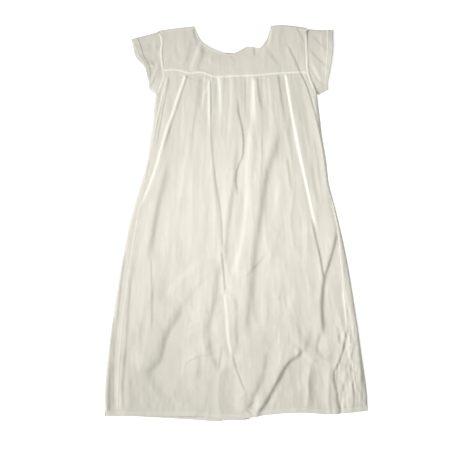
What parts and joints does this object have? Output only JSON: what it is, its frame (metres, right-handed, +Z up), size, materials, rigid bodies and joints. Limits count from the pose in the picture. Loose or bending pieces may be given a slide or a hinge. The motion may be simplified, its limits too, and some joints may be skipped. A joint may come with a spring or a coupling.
{
  "type": "patient gown",
  "caption": "Back-opening cotton patient gown lying flat, with a scooped neck, a yoke, a pleated A-line skirt and short cap sleeves; the sleeves and the skirt fold over",
  "frame": {"origin": "centre of the bottom of the bounding box, on the surface that the gown lies on", "axes": "+Y from the hem to the neck, +X to the wearer's left, +Z up from the lying surface towards the front of the gown"},
  "size_m": [0.718, 1.08, 0.0095],
  "materials": {
    "cotton_cloth": "off-white plain-weave cotton, washed, slightly slubbed and slightly sheer",
    "cotton_seam": "the same cotton in several layers, so whiter, with lockstitching in white thread",
    "hook_tape": "woven polyamide tape with small hooks",
    "loop_tape": "brushed polyamide tape with soft loops"
  },
  "bodies": {
    "gown_body": {"armhole_seam_left": "cotton_seam", "armhole_seam_right": "cotton_seam", "back_neck_binding_left": "cotton_seam", "back_neck_binding_right": "cotton_seam", "back_placket_left_upper": "cotton_cloth", "back_placket_right_upper": "cotton_cloth", "back_skirt_upper_left": "cotton_cloth", "back_skirt_upper_right": "cotton_cloth", "back_yoke_left": "cotton_cloth", "back_yoke_right": "cotton_cloth", "back_yoke_seam_left": "cotton_seam", "back_yoke_seam_right": "cotton_seam", "closure_patch_hook": "hook_tape", "closure_patch_loop": "loop_tape", "front_neck_binding": "cotton_seam", "front_skirt_upper": "cotton_cloth", "front_yoke": "cotton_cloth", "front_yoke_seam": "cotton_seam", "shoulder_seam_left": "cotton_seam", "shoulder_seam_right": "cotton_seam", "side_seam_upper_left": "cotton_seam", "side_seam_upper_right": "cotton_seam"},
    "lower_skirt": {"back_hem_left": "cotton_seam", "back_hem_right": "cotton_seam", "back_placket_left_lower": "cotton_cloth", "back_placket_right_lower": "cotton_cloth", "back_skirt_lower_left": "cotton_cloth", "back_skirt_lower_right": "cotton_cloth", "front_hem": "cotton_seam", "front_skirt_lower": "cotton_cloth", "side_seam_lower_left": "cotton_seam", "side_seam_lower_right": "cotton_seam"},
    "left_sleeve": {"sleeve_hem_left": "cotton_seam", "sleeve_left": "cotton_cloth", "sleeve_underarm_seam_left": "cotton_seam"},
    "right_sleeve": {"sleeve_hem_right": "cotton_seam", "sleeve_right": "cotton_cloth", "sleeve_underarm_seam_right": "cotton_seam"}
  },
  "joints": [
    {"name": "skirt_fold", "type": "hinge", "parent": "gown_body", "child": "lower_skirt", "pos_m": [0, -0.11, 0.018], "axis": [-1, 0, 0], "range_deg": [0, 179]},
    {"name": "left_sleeve_fold", "type": "hinge", "parent": "gown_body", "child": "left_sleeve", "pos_m": [0.1895, 0.4344, 0.018], "axis": [0.1516, -0.9884, 0], "range_deg": [0, 179]},
    {"name": "right_sleeve_fold", "type": "hinge", "parent": "gown_body", "child": "right_sleeve", "pos_m": [-0.2016, 0.4351, 0.018], "axis": [0.0844, 0.9964, 0], "range_deg": [0, 179]}
  ]
}
